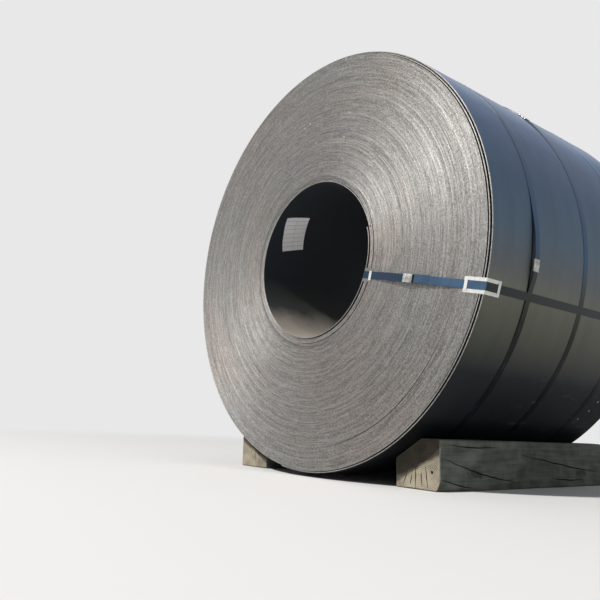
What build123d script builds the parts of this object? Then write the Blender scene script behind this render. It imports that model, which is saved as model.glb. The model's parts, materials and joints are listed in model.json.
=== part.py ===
from build123d import *
import math
import os

# Wound coil of hot rolled strip, strapped, on two bevelled timbers
# The coil's axis and the timbers run along Y, with the strapped end that is seen first at low y.
# Z is up from the floor, and the origin is on the floor at the middle of the load.
strip_width = 1270.0
coil_radius = 1000.0
bore_radius = 381.0
strip_thickness = 5.0
tail_angle = -100.0
head_angle = 12.0
head_gap = 4.0

# Turns that have sprung open at both ends, as far in as the straps leave them free: the outer ones,
# from the inside out, the innermost one, and one in the stack, counted from the outside
loose_opening = [5.0, 8.0]
loose_toward = [5.0, -15.0]
loose_spread = [55.0, 83.0]
eye_opening = 7.0
eye_toward = -30.0
eye_spread = 85.0
stack_opening = 2.5
stack_opening_turn = 22
stack_toward = -52.0
stack_spread = 32.0
opening_depth = 200.0

# Groups of turns that were wound a little to one side, so that the ends are stepped
stepped_groups = 4
step_depth = 1.8
step_swing = 1.2
step_phase = 2.4
inner_flush_turns = 9
outer_flush_turns = 9

# Air under straps, plates and label where they lie on the shell, and elsewhere
shell_gap = 0.3
seat_gap = 0.05

# Steel strapping, its crimped seals and their fit
strap_width = 32.0
strap_thickness = 0.8
strap_overlap = 110.0
seal_length = 48.0
seal_metal = 1.2
seal_side_clearance = 0.4
seal_slack = 1.8
seal_lip_opening = 14.0
crimp_width = 7.0
crimp_depth = 2.4
crimp_pitch = 22.0

# Straps round the outside, evenly spaced: the first one from the front end, the last one from the
# rear end, and each one's seal
girth_first = 270.0
girth_last = 240.0
girth_seal_angles = [-9.0, 42.0, 60.0]
girth_slack = [10.0, 3.0, 3.0]
slack_spread_below = [8.5, 12.0, 12.0]
slack_spread_above = [20.0, 12.0, 12.0]

# Strap through the eye: which way it runs on the ends, and how far above the axis it would pass
eye_strap_heading = -13.1
eye_strap_rise = -50.0
eye_strap_bow = 20.0
eye_seal_radius = 652.0
corner_bend_radius = 0.1
gentle_bend_radius = 100.0
flat_past_part = 6.0

# Bent plates that guard the coil's rims under the strap, and the tabs that hold it to them
plate_thickness = 0.6
plate_width = 60.0
outer_face_leg = 96.0
outer_wall_leg = 88.0
eye_face_leg = 48.0
eye_wall_leg = 75.0
tab_width = 14.0
tab_inset = 3.0
tab_side_clearance = 1.5
tab_top_clearance = 0.4
tab_past_strap = 7.0

# Paper label stuck to the wall of the bore
label_width = 137.0
label_height = 195.0
label_thickness = 0.25
label_angle = 143.5
label_from_front = 138.0
label_tilt = -16.0

# Bevelled timbers
timber_width = 225.0
timber_height = 200.0
timber_length = 1250.0
timber_inset = 110.0
bevel_angle = 32.0
bevel_width = 132.0
timber_edge_radius = 5.0
coil_lift = 20.0

# Places worked out from the sizes above
load_depth = max(strip_width, timber_inset + timber_length)
front_y = -load_depth / 2
rear_y = front_y + strip_width
axis_z = coil_lift + coil_radius
half_strap = strap_width / 2
girth_pitch = (strip_width - girth_first - girth_last) / (len(girth_seal_angles) - 1)
centre = Vector(0, 0)


def cos(degrees):
    return math.cos(math.radians(degrees))


def sin(degrees):
    return math.sin(math.radians(degrees))


def direction(angle):
    # Unit vector across the coil, anticlockwise from the right as seen from the front
    return Vector(cos(angle), sin(angle))


def end_plane(y):
    # Plane across the coil at this y: its x is the row's X, its y is Z, and it faces the front
    return Plane(origin=(0, y, axis_z), x_dir=(1, 0, 0), z_dir=(0, -1, 0))


def touching_plane(angle, radius, y):
    # Plane that touches a circle round the axis: its x runs round the coil, and it faces outwards
    origin = (radius * cos(angle), y, axis_z + radius * sin(angle))
    return Plane(origin=origin, x_dir=(-sin(angle), 0, cos(angle)), z_dir=(cos(angle), 0, sin(angle)))


def across(face, start_y, length):
    # Solid of a face drawn on the end plane, from start_y towards the rear
    return extrude(end_plane(start_y) * face, amount=-length)


# The coil
# Half of its outside is round the axis. The other half comes in by one thickness of strip,
# so that it ends in the step at the tail.
tail_shift = strip_thickness / 2
tail_centre = direction(tail_angle) * -tail_shift
tail_radius = coil_radius - tail_shift
inner_flush = bore_radius + inner_flush_turns * strip_thickness
outer_flush = coil_radius - outer_flush_turns * strip_thickness


def coil_outline():
    tip = direction(tail_angle)
    right = CenterArc((0, 0), coil_radius, tail_angle, 180)
    left = CenterArc(tail_centre, tail_radius, tail_angle + 180, 180)
    step = Line(tip * (coil_radius - strip_thickness), tip * coil_radius)
    return make_face(Curve() + [right, left, step])


def crescent_shift(widest, spread):
    return widest / (1 - cos(spread))


def crescent(turn_centre, turn_radius, widest, toward, spread):
    # Opening outside one turn, widest in one direction and closed at the spread either side of it
    shift = crescent_shift(widest, spread)
    next_centre = turn_centre + direction(toward) * shift
    next_radius = turn_radius - shift * cos(spread)
    opening = Pos(next_centre) * Circle(next_radius) - Pos(turn_centre) * Circle(turn_radius)
    return opening, next_centre, next_radius


def turn_openings():
    # The outer ones start from where the last of them comes out round the axis
    loose = list(zip(loose_opening, loose_toward, loose_spread))
    turn_centre = centre
    turn_radius = coil_radius
    for widest, toward, spread in loose:
        shift = crescent_shift(widest, spread)
        turn_centre -= direction(toward) * shift
        turn_radius -= strip_thickness - shift * cos(spread)
    openings = []
    for sizes in loose:
        opening, turn_centre, turn_radius = crescent(turn_centre, turn_radius, *sizes)
        turn_radius += strip_thickness
        openings.append(opening)
    first_turn = bore_radius + strip_thickness
    stack_turn = coil_radius - stack_opening_turn * strip_thickness
    openings.append(crescent(centre, first_turn, eye_opening, eye_toward, eye_spread)[0])
    openings.append(crescent(centre, stack_turn, stack_opening, stack_toward, stack_spread)[0])
    return openings


def stepped_end(start_y, inward):
    # What the stepped turns leave off one end: inward is 1 at the front and -1 at the rear
    pitch = (outer_flush - inner_flush) / stepped_groups
    points = [(inner_flush, 0)]
    for group in range(stepped_groups):
        depth = inward * (step_depth + step_swing * math.sin(step_phase * group))
        points += [(inner_flush + group * pitch, depth), (inner_flush + (group + 1) * pitch, depth)]
    points.append((outer_flush, 0))
    profile = make_face(Polyline(*points, close=True))
    return Pos(0, start_y, axis_z) * revolve(profile, Axis.Y)


def coil():
    body = across(coil_outline() - Circle(bore_radius), front_y, strip_width)
    body -= stepped_end(front_y, 1)
    body -= stepped_end(rear_y, -1)
    for opening in turn_openings():
        body -= across(opening, front_y, opening_depth)
        body -= across(opening, rear_y - opening_depth, opening_depth)
    head = Rot(0, 0, head_angle) * Pos(bore_radius, 0) * Rectangle(2 * strip_thickness, head_gap)
    return body - across(head, front_y, strip_width)


# Straps round the outside
# Each one crosses the step at the tail in a straight run that touches the coil again.
bridge_angle = math.degrees(math.acos(tail_radius / (coil_radius + tail_shift)))
bridge_end = tail_angle + 360 - bridge_angle


def slack_at(strap, angle):
    # About how far a strap stands off the coil at an angle, on its two bends either side of the seal
    away = angle - girth_seal_angles[strap]
    spread = slack_spread_above[strap] if away > 0 else slack_spread_below[strap]
    part = min(abs(away) / spread, 1)
    share = 1 - 2 * part**2 if part < 0.5 else 2 * (1 - part) ** 2
    return girth_slack[strap] * share


def between_bends(start, leaving, end, arriving):
    # Where two arcs meet that leave one point and reach another in these directions, and which way
    chord = end - start
    along = chord.dot(leaving + arriving)
    turned = 2 * (1 - leaving.dot(arriving))
    reach = (math.sqrt(along**2 + turned * chord.dot(chord)) - along) / turned
    first = start + leaving * reach
    second = end - arriving * reach
    return (first + second) / 2, (second - first).normalized()


def slack_run(strap, offset):
    # Four arcs that lift a strap off the coil to its seal and lay it down again
    seal_angle = girth_seal_angles[strap]
    stations = [
        (seal_angle - slack_spread_below[strap], coil_radius),
        (seal_angle, coil_radius + girth_slack[strap]),
        (seal_angle + slack_spread_above[strap], coil_radius),
    ]
    ends = [(direction(angle) * radius, direction(angle + 90)) for angle, radius in stations]
    places = [ends[0]]
    for before, after in zip(ends, ends[1:]):
        places += [between_bends(*before, *after), after]
    points = [point + Vector(way.Y, -way.X) * offset for point, way in places]
    ways = [way for point, way in places]
    return [TangentArc(a, b, tangent=way) for a, b, way in zip(points, points[1:], ways)]


def girth_outline(strap, offset):
    # Closed outline of a strap's surface that lies this far outside the coil
    radius = coil_radius + offset
    reach = coil_radius * cos(bridge_angle) + offset
    start = bridge_end - 360 + math.degrees(math.acos(reach / radius))
    half_turn = tail_angle + 180
    slack_start = girth_seal_angles[strap] - slack_spread_below[strap]
    slack_end = girth_seal_angles[strap] + slack_spread_above[strap]
    bridge_start = tail_centre + direction(bridge_end) * (tail_radius + offset)
    runs = [
        CenterArc((0, 0), radius, start, slack_start - start),
        *slack_run(strap, offset),
        CenterArc((0, 0), radius, slack_end, half_turn - slack_end),
        CenterArc(tail_centre, tail_radius + offset, half_turn, bridge_end - half_turn),
        Line(bridge_start, direction(start) * radius),
    ]
    return make_face(Curve() + runs)


def girth_middle(strap):
    return front_y + girth_first + strap * girth_pitch


def girth_strap(strap):
    # The two ends lie over each other in the seal, where the strap is doubled
    outside = girth_outline(strap, shell_gap + strap_thickness)
    half_lap = math.degrees(strap_overlap / coil_radius) / 2
    seal_angle = girth_seal_angles[strap]
    corners = [direction(seal_angle + side * half_lap) * 2 * coil_radius for side in (-1, 1)]
    wedge = make_face(Polyline((0, 0), *corners, close=True))
    doubled = girth_outline(strap, shell_gap + 2 * strap_thickness) & wedge
    section = outside + doubled - girth_outline(strap, shell_gap)
    return across(section, girth_middle(strap) - half_strap, strap_width)


def seal(place):
    # Sleeve folded round both ends of a strap, open underneath and crimped along both edges
    inside_height = 2 * strap_thickness + seal_slack
    inside_width = strap_width + 2 * seal_side_clearance
    height = inside_height + 2 * seal_metal
    width = inside_width + 2 * seal_metal
    section = Rectangle(width, height) - Rectangle(inside_width, inside_height)
    section -= Pos(0, -height / 2) * Rectangle(seal_lip_opening, 2 * seal_metal)
    body = extrude(Plane.YZ * section, amount=seal_length / 2, both=True)
    corners = [(-crimp_width / 2, 0), (0, crimp_depth), (crimp_width / 2, 0), (0, -crimp_depth)]
    crimp = extrude(make_face(Polyline(*corners, close=True)), amount=height, both=True)
    for along in (-crimp_pitch / 2, crimp_pitch / 2):
        for side in (-1, 1):
            body -= Pos(along, side * width / 2) * crimp
    return place * Pos(0, 0, strap_thickness) * body


def girth_seal(strap):
    radius = coil_radius + shell_gap + girth_slack[strap]
    return seal(touching_plane(girth_seal_angles[strap], radius, girth_middle(strap)))


# Strap through the eye
# It doesn't run straight out from the axis, so it and its plates are what stays between two planes
# of a ring round the axis. Its inside face lies at these distances from the axis and the end faces.
strap_out = coil_radius + shell_gap + max(strap_thickness, plate_thickness) + seat_gap
strap_in = bore_radius - plate_thickness - 2 * seat_gap
strap_flat = plate_thickness + seat_gap
strap_bowed = strap_flat + eye_strap_bow
shell_angle = eye_strap_heading + math.degrees(math.asin(eye_strap_rise / coil_radius))
half_strap_angle = math.degrees(half_strap / coil_radius)
strap_over = strap_out + slack_at(0, shell_angle + half_strap_angle)
half_bow = seal_length / 2 + flat_past_part
half_over = half_strap + flat_past_part


def along_strap(start, end, width):
    # Rectangle on the end plane that follows the strap's run, between two distances from the axis
    middle = Pos((start + end) / 2, eye_strap_rise)
    return Rot(0, 0, eye_strap_heading) * middle * Rectangle(end - start, width)


def eye_strap_outline(offset):
    # Closed outline in the plane through the axis, this far outside the strap's inside face
    corner = corner_bend_radius + offset
    rim = coil_radius - outer_face_leg
    eye = bore_radius + eye_face_leg
    runs = []
    for end_y, outward in ((front_y, -1), (rear_y, 1)):
        flat = end_y + outward * (strap_flat + offset)
        bowed = end_y + outward * (strap_bowed + offset)
        runs.append(
            [
                (strap_in - offset, flat),
                (eye, flat),
                (eye_seal_radius - half_bow, bowed),
                (eye_seal_radius + half_bow, bowed),
                (rim, flat),
                (strap_out + offset, flat),
            ]
        )
    shell_run = [
        (strap_out + offset, front_y + outer_wall_leg),
        (strap_over + offset, girth_middle(0) - half_over),
        (strap_over + offset, girth_middle(0) + half_over),
        (strap_out + offset, girth_middle(1)),
    ]
    points = runs[0] + shell_run + runs[1][::-1]
    end_bends = [corner] + 4 * [gentle_bend_radius] + [corner]
    bends = end_bends + len(shell_run) * [gentle_bend_radius] + end_bends
    return make_face(FilletPolyline(*points, radius=bends, close=True))


def eye_strap():
    lap_y = front_y - strap_bowed - 1.5 * strap_thickness
    lap = Pos(eye_seal_radius, lap_y) * Rectangle(2 * half_bow, strap_thickness)
    section = eye_strap_outline(strap_thickness) + lap - eye_strap_outline(0)
    ring = Pos(0, 0, axis_z) * revolve(section, Axis.Y)
    beyond = 2 * coil_radius
    return ring & across(along_strap(0, beyond, strap_width), -beyond, 2 * beyond)


def beside_strap(y, reach):
    # Place on an end, where the strap's middle is this far from the axis: its x follows the strap
    return end_plane(y) * Rot(0, 0, eye_strap_heading) * Pos(reach, eye_strap_rise)


def eye_strap_seal():
    reach = math.sqrt(eye_seal_radius**2 - eye_strap_rise**2)
    return seal(beside_strap(front_y - strap_bowed, reach))


def tab(origin, over, up):
    # Strip folded up from a plate beside the strap and over it, towards the direction over
    rise = half_strap + tab_side_clearance
    inside = seat_gap + strap_thickness + tab_top_clearance
    top = inside + plate_thickness
    root = -plate_thickness / 2
    tip = half_strap + tab_past_strap
    corners = [(-rise, root), (-rise, inside), (tip, inside), (tip, top)]
    corners += [(-rise - plate_thickness, top), (-rise - plate_thickness, root)]
    section = Plane(origin=origin, x_dir=over, z_dir=Vector(over).cross(Vector(up)))
    return extrude(section * make_face(Polyline(*corners, close=True)), amount=tab_width / 2, both=True)


def corner_plate(end_y, outward, at_eye):
    # Sheet bent over a rim of the coil, with one leg on the end face and one on the wall
    radius = bore_radius if at_eye else coil_radius
    away = -1 if at_eye else 1
    face_leg = eye_face_leg if at_eye else outer_face_leg
    wall_leg = eye_wall_leg if at_eye else outer_wall_leg
    seat = bore_radius - seat_gap if at_eye else coil_radius + shell_gap
    skin = seat + away * plate_thickness
    wall = Circle(max(seat, skin)) - Circle(min(seat, skin))
    wall &= along_strap(radius / 2, radius * 3 / 2, plate_width)
    outer_level = end_y + outward * plate_thickness
    wall_end = end_y - outward * wall_leg
    body = across(wall, min(outer_level, wall_end), plate_thickness + wall_leg)
    face = along_strap(radius - face_leg, radius + face_leg, plate_width)
    face = face - Circle(skin) if at_eye else face & Circle(skin)
    body += across(face, min(end_y, outer_level), plate_thickness)
    reach = radius - away * (face_leg - tab_inset - tab_width / 2)
    down = direction(eye_strap_heading - 90)
    body += tab(beside_strap(outer_level, reach).position, (down.X, 0, down.Y), (0, outward, 0))
    if not at_eye:
        spot = touching_plane(shell_angle, skin, end_y - outward * (wall_leg - tab_inset - tab_width / 2))
        body += tab(spot.origin, spot.x_dir, spot.z_dir)
    return body


def bore_label():
    # Sheet of paper on the wall of the bore, a little askew
    ring = Circle(bore_radius - seat_gap) - Circle(bore_radius - seat_gap - label_thickness)
    skin = across(ring, front_y, strip_width)
    place = Plane(
        origin=(0, front_y + label_from_front, axis_z),
        x_dir=(0, 1, 0),
        z_dir=(cos(label_angle), 0, sin(label_angle)),
    )
    sheet = place * Rot(0, 0, label_tilt) * Rectangle(label_width, label_height)
    return skin & extrude(sheet, amount=bore_radius)


def support(angle):
    # How far the strapped coil reaches in one direction, where a flat face touches it
    on_the_left = (tail_angle - angle) % 360 < 180
    bare = tail_centre.dot(direction(angle)) + tail_radius if on_the_left else coil_radius
    return bare + shell_gap + strap_thickness


def timber(side):
    # Timber on one side of the coil, with its bevel against the straps: side is 1 on the right
    reach = support(-90 + side * bevel_angle)
    bevel_top = (reach - (axis_z - timber_height) * cos(bevel_angle)) / sin(bevel_angle)
    near = bevel_top - bevel_width
    far = near + timber_width
    bevel_low = timber_height - bevel_width * sin(bevel_angle) / cos(bevel_angle)
    corners = [(near, 0), (far, 0), (far, timber_height), (bevel_top, timber_height), (near, bevel_low)]
    points = [(side * x, z - axis_z) for x, z in corners]
    section = make_face(Polyline(*points, close=True))
    section = fillet(section.vertices(), timber_edge_radius)
    return across(section, front_y + timber_inset, timber_length)


def write(name, solid):
    export_step(solid, "parts/" + name + ".step")


os.makedirs("parts", exist_ok=True)
write("coil", coil())
for number in range(len(girth_seal_angles)):
    write("girth_strap_" + str(number + 1), girth_strap(number))
    write("girth_seal_" + str(number + 1), girth_seal(number))
write("eye_strap", eye_strap())
write("eye_strap_seal", eye_strap_seal())
for end, end_y, outward in (("front", front_y, -1), ("rear", rear_y, 1)):
    write(end + "_rim_plate", corner_plate(end_y, outward, at_eye=False))
    write(end + "_eye_plate", corner_plate(end_y, outward, at_eye=True))
write("bore_label", bore_label())
write("timber_right", timber(1))
write("timber_left", timber(-1))
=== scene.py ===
import json
import math

import bmesh
import bpy
import numpy as np
from bpy.props import FloatProperty, FloatVectorProperty, IntProperty, PointerProperty
from mathutils import Matrix, Vector, noise


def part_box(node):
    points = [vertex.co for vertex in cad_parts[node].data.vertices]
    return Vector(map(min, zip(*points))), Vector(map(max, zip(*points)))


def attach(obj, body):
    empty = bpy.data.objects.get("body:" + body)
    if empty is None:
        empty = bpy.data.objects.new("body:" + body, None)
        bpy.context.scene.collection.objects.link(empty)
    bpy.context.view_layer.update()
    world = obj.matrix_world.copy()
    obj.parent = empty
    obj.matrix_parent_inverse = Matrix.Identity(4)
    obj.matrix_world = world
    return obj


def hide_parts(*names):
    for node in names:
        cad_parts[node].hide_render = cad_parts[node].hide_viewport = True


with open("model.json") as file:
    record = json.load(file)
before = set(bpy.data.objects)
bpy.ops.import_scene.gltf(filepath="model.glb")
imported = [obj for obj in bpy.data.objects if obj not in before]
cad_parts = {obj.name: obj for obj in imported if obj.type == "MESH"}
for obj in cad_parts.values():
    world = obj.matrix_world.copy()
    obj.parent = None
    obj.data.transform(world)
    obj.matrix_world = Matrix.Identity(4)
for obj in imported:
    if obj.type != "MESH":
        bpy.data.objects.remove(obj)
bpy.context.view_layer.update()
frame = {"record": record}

bl_info = {
    "name": "Strapped steel coil",
    "version": (1, 0, 0),
    "blender": (4, 5, 0),
    "location": "3D View > Sidebar > Coil",
    "description": "Dresses a coil of hot rolled strip, its straps, plates and timbers",
    "category": "Object",
}

# Places read from the frame, in metres
EYE = frame["record"]["mounts"][0]
AXIS_Z = EYE["pos_m"][2]
BORE_RADIUS = EYE["dims"]["r_mm"] / 1000
FRONT_Y, REAR_Y = (corner.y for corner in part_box("coil"))
COIL_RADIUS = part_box("coil")[1].x

# Where the strip ends, and how the outline steps in by one thickness at the tail
TAIL_ANGLE = math.radians(-100)
HEAD_ANGLE = math.radians(12)
TAIL_SHIFT = 0.0025
# Over how many turns from the outside the turns follow that outline
ROUND_TURNS = 20

# Turns that have sprung open: the turn inside which the opening lies, counted from the tail or,
# below zero, from the head, its widest, the way it faces and how far it reaches to either side
SPRUNG_TURNS = (
    (1, 0.008, math.radians(-15), math.radians(83)),
    (2, 0.005, math.radians(5), math.radians(55)),
    (22, 0.0025, math.radians(-52), math.radians(32)),
    (-1, 0.009, math.radians(-30), math.radians(85)),
    (-5, 0.004, math.radians(-28), math.radians(75)),
)
# How many turns stand free of the stack, outside and in the eye
LOOSE_OUTER = 2
LOOSE_INNER = 2
# Past the head, the next turn comes in over this part of a turn, and the head itself bends inwards
HEAD_RUN = 0.13
HEAD_BEND, HEAD_BEND_RUN = 0.003, 0.02
# Just before the head, each turn steps over the one inside it: in this part of a turn at the eye, and
# in so much more of a turn with each turn further out
STEP_RUN, STEP_GROWTH = 0.006, 0.1
# Turns this near to the shell or the eye lie level with the ends, and those this far off lie freely
LEVEL_TURNS, FREE_TURNS = 5.4, 14.4
# How far in from the ends the level turns lie, how much further the free ones do on average, and the
# least for any turn, and by how much groups of them, single ones and the lean of their edges vary
LEVEL_INSET, FREE_INSET, LEAST_INSET = 0.0003, 0.0014, 0.0001
GROUPS_VARY, TURNS_VARY, LEAN_VARIES = 0.0006, 0.0002, 0.0003
# A groove is deeper by so many times the opening beside it, and by this much at the most
DEEPER_BY, DEEPEST = 40, 0.2

# The strap through the eye: which way it runs on the ends, how far above the axis it would pass, how
# far it bows out from an end under its seal, and how far from the axis that seal is
EYE_HEADING = math.radians(-13.1)
EYE_RISE = -0.050
EYE_BOW = 0.020
EYE_SEAL_RADIUS = 0.652
# The straps round the outside: middle from the front end, the seal's angle, how far the strap stands
# off there, and over what angle below and above the seal
GIRTH_STRAPS = (
    (0.270, math.radians(-9), 0.010, math.radians(8.5), math.radians(20)),
    (0.650, math.radians(42), 0.003, math.radians(12), math.radians(12)),
    (1.030, math.radians(60), 0.003, math.radians(12), math.radians(12)),
)
# Half the width of a strap, and where along y the first strap's front edge is, for the painted shadow and
# painted highlight there
STRAP_HALF = 0.016
FIRST_STRAP_EDGE = FRONT_Y + GIRTH_STRAPS[0][0] - STRAP_HALF
# Steps round a girth strap, along its doubled part, along the eye strap's free end and along a seal
RING_STEPS, LAP_STEPS, FREE_STEPS, SEAL_STEPS = 900, 60, 24, 48
# Longest steps along the eye strap and along a plate
STRAP_STEP, PLATE_STEP = 0.02, 0.012

# The label on the bore's wall: its middle from the front end, the angle of its middle and its tilt
LABEL_PLACE = (0.138, math.radians(143.5), math.radians(-16))

# Chalk specks on the front face, as distance from the axis and angle in degrees
CHALK_SPECKS = ((0.991, 77.2), (0.718, 69.9), (0.601, 69.3), (0.716, 96.2), (0.598, 88.7), (0.721, 93.0))
# Specks of dirt on the shell, as distance from the front end and angle in degrees
SHELL_SPECKS = ((1.077, -45.0), (1.110, -41.9), (1.126, -38.7), (0.666, -48.1))
# Tones of the shell and of the straps on it by height above the floor: the scale's own blue-grey with painted
# light in it, a pale and a blue painted sky reflection up high and painted shade darkening to near black
# towards the floor; and the colour of the painted shadow line on both
SHELL_TONES_AND_PAINTED_LIGHT = (
    (0.1, "060c12"), (0.45, "0b131b"), (0.62, "52554a"), (0.76, "6e7165"), (0.86, "5d646a"),
    (1.0, "485f72"), (1.2, "2f4e6c"), (1.42, "2d4c73"), (1.54, "42628a"), (1.66, "7f92b2"), (2.0, "8b98af"),
)
STRAP_TONES_AND_PAINTED_LIGHT = (
    (0.1, "030405"), (0.56, "030405"), (0.64, "1c1e1a"), (0.74, "3d3d36"), (0.84, "42474a"),
    (0.92, "2f4f6e"), (1.08, "2a4768"), (1.4, "22405e"), (1.8, "2c4056"), (2.0, "6a7080"),
)
# Colour of the painted shadow line along the first strap's front edge
GAP_SHADOW_COLOUR = "06080a"

# Damage seen in the photograph on the right timber, from the coil's front end: cracks on its outer
# side as places along y and heights, and on its end as places along x and heights
SIDE_CRACKS = (
    ((0.108, 0.131), (0.200, 0.108), (0.359, 0.067), (0.500, 0.044), (0.640, 0.026)),
    ((0.648, 0.143), (0.850, 0.118), (1.100, 0.085), (1.335, 0.065)),
    ((0.180, 0.176), (0.330, 0.168), (0.480, 0.172)),
    ((0.900, 0.040), (1.060, 0.030), (1.180, 0.034)),
)
# The split above the broken arris
SPLIT = ((0.112, 0.048), (0.185, 0.031), (0.259, 0.018), (0.340, 0.010))
END_CRACKS = (
    ((0.550, 0.098), (0.547, 0.060), (0.549, 0.004)),
    ((0.509, 0.073), (0.498, 0.046), (0.482, 0.013)),
    ((0.595, 0.095), (0.601, 0.055), (0.608, 0.010)),
    ((0.574, 0.070), (0.577, 0.040), (0.580, 0.012)),
    ((0.530, 0.062), (0.524, 0.036), (0.520, 0.016)),
)
# Drying cracks guessed for the left timber: start from its front end, length and height, and on its
# end how far to the side their foot and top lie
LEFT_CRACKS = ((0.12, 0.34, 0.13), (0.62, 0.40, 0.08), (0.95, 0.25, 0.15))
LEFT_END_CRACKS = ((-0.055, -0.02), (0.01, 0.005), (0.06, 0.03))
# Each kind of crack: distance between its bends, how far they sway, its width and its depth
SIDE_KIND = (0.02, 0.0035, 0.0065, 0.035)
SPLIT_KIND = (0.02, 0.002, 0.006, 0.03)
END_KIND = (0.012, 0.002, 0.005, 0.03)
LEFT_SIDE_KIND = (0.02, 0.003, 0.004, 0.025)
LEFT_END_KIND = (0.012, 0.002, 0.003, 0.02)
# The square hole in the right timber's end: its side, its depth, and its middle as x and z
HOLE_SIDE, HOLE_DEPTH = 0.010, 0.03
HOLE_PLACE = (0.6285, 0.072)
# The pith that the growth rings go round on the right timber's ends, and mirrored on the left's
PITH = (0.552, 0, 0.175)
# Knots on the right timber's outer side, as places along y from the coil's front end and heights
KNOTS = (
    (0.312, 0.071), (0.330, 0.063), (0.344, 0.066), (0.360, 0.061),
    (1.120, 0.062), (1.140, 0.065), (1.160, 0.068), (1.182, 0.063),
)
# The broken arris: how far it reaches in and up at the front end, and back along the timber
BREAK_IN, BREAK_UP, BREAK_BACK = 0.024, 0.047, 0.420
# How far the solids that are cut out of a timber stand out of it: cracks and the hole, and the break
CUT_PAST, BREAK_PAST = 0.004, 0.01

# The photograph's camera, from the middle of the front face, and the way it looks
CAMERA_FROM_FACE = Vector((2.283, -1.942, -0.785))
CAMERA_TURN = math.radians(54.17)
CAMERA_TILT = math.radians(10.86)
CAMERA_ROLL = math.radians(2.48)
# The key light comes from in front of the face and above, as the photograph's shadows show
KEY_DIRECTION = Vector((-0.03, -0.76, 0.645))
KEY_DISTANCE = 25.0
FLOOR_RADIUS = 40.0
# Over these distances from the middle the floor turns into the background
FLOOR_FADE = (2.4, 8.0)


def linear(code):
    """Linear colour of an sRGB hex value."""
    parts = [int(code[start : start + 2], 16) / 255 for start in (0, 2, 4)]
    return tuple(part / 12.92 if part <= 0.04045 else ((part + 0.055) / 1.055) ** 2.4 for part in parts)


def length(name, description, default):
    """A length in metres that a user can change."""
    return FloatProperty(name=name, description=description, default=default, unit="LENGTH", precision=5)


def tone(name, description, code):
    """A colour that a user can change, from its sRGB hex value."""
    return FloatVectorProperty(name=name, description=description, default=linear(code), subtype="COLOR")


class CoilSizes(bpy.types.PropertyGroup):
    strip_thickness: length("Strip", "Thickness of the strip", 0.005)
    turn_gap: length("Gap", "Air between two tight turns", 0.00025)
    edge_round: length("Edge", "Rounding of the strip's rolled edges", 0.0007)
    groove_depth: length("Groove", "Depth to which the groove between tight turns shows", 0.0012)
    end_samples: IntProperty(name="End samples", description="Steps round one turn on the ends", default=192)
    shell_samples: IntProperty(name="Shell samples", description="Steps round one loose turn", default=360)


class StrapSizes(bpy.types.PropertyGroup):
    width: length("Strap", "Width of the strapping", 0.032)
    thickness: length("Thickness", "Thickness of the strapping", 0.0008)
    overlap: length("Overlap", "Length over which a strap is doubled", 0.110)
    free_end: length("Free end", "How far the eye strap's end runs past its seal", 0.075)
    free_slide: length("Slide", "How far that end has slid up the strap", 0.004)
    slide_run: length("Slide run", "Length over which it has slid", 0.1)
    flat_past: length("Flat", "Level run past a seal or a crossing", 0.006)
    rim_bend: length("Rim bend", "Bend of the eye strap over a rim", 0.0019)
    gentle_bend: length("Gentle bend", "Bend of the eye strap elsewhere", 0.1)
    shell_gap: length("Shell gap", "Air between the shell and what lies on it", 0.0003)
    seat_gap: length("Seat gap", "Air between a plate and what it lies on", 0.00005)
    seal_length: length("Seal", "Length of a seal", 0.048)
    seal_metal: length("Seal metal", "Thickness of a seal's metal", 0.0012)
    seal_slack: length("Seal slack", "Air over the straps in a seal", 0.0018)
    seal_side: length("Seal side", "Air beside the straps in a seal, on both sides together", 0.0008)
    lip_opening: length("Lips", "Opening between a seal's lips underneath", 0.014)
    crimp_width: length("Crimp", "Length of a crimp", 0.007)
    crimp_reach: length("Crimp reach", "How far a crimp reaches in from an edge", 0.008)
    crimp_depth: length("Crimp depth", "How far a crimp pushes an edge in", 0.0015)
    crimp_pitch: length("Crimp pitch", "Distance between a seal's crimps", 0.022)
    plate_thickness: length("Sheet", "Thickness of the plates' sheet", 0.0006)
    plate_width: length("Plate", "Width of a plate", 0.060)
    plate_bend: length("Plate bend", "Bend of a plate over a rim", 0.0012)
    outer_face_leg: length("Outer face leg", "Outer plate's leg on the end face", 0.096)
    outer_wall_leg: length("Outer wall leg", "Outer plate's leg on the shell", 0.088)
    eye_face_leg: length("Eye face leg", "Eye plate's leg on the end face", 0.048)
    eye_wall_leg: length("Eye wall leg", "Eye plate's leg on the bore's wall", 0.075)
    tab_width: length("Tab", "Width of a tab", 0.014)
    tab_bend: length("Tab bend", "Bend of a tab over the strap", 0.0008)
    tab_inset: length("Tab inset", "From the plate's end to its tab", 0.003)
    tab_side_gap: length("Tab side gap", "Between a tab and the strap's edge", 0.0015)
    tab_top_gap: length("Tab top gap", "Between a tab and the strap's face", 0.0004)
    tab_reach: length("Tab reach", "How far a tab reaches past the strap", 0.007)


class LabelSizes(bpy.types.PropertyGroup):
    width: length("Label", "Width of the label", 0.137)
    height: length("Label height", "Height of the label", 0.195)
    seat: length("Seat", "How far off the wall the label lies flat", 0.0003)
    ripple: length("Ripple", "How far its paper ripples", 0.0004)
    lift: length("Lift", "How far its corners curl up", 0.004)


class TimberSizes(bpy.types.PropertyGroup):
    bevel_angle: FloatProperty(
        name="Bevel", description="Slope of the bevel under the coil",
        default=math.radians(32), subtype="ANGLE",
    )
    bevel_width: length("Bevel width", "Width of the bevel's shadow on the floor", 0.132)
    arris: length("Arris", "Rounding of the worn corners", 0.007)
    wear: length("Wear", "How deep weather has worn the faces", 0.0016)
    grid: length("Grid", "Distance between the points of the worn faces", 0.007)


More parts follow.
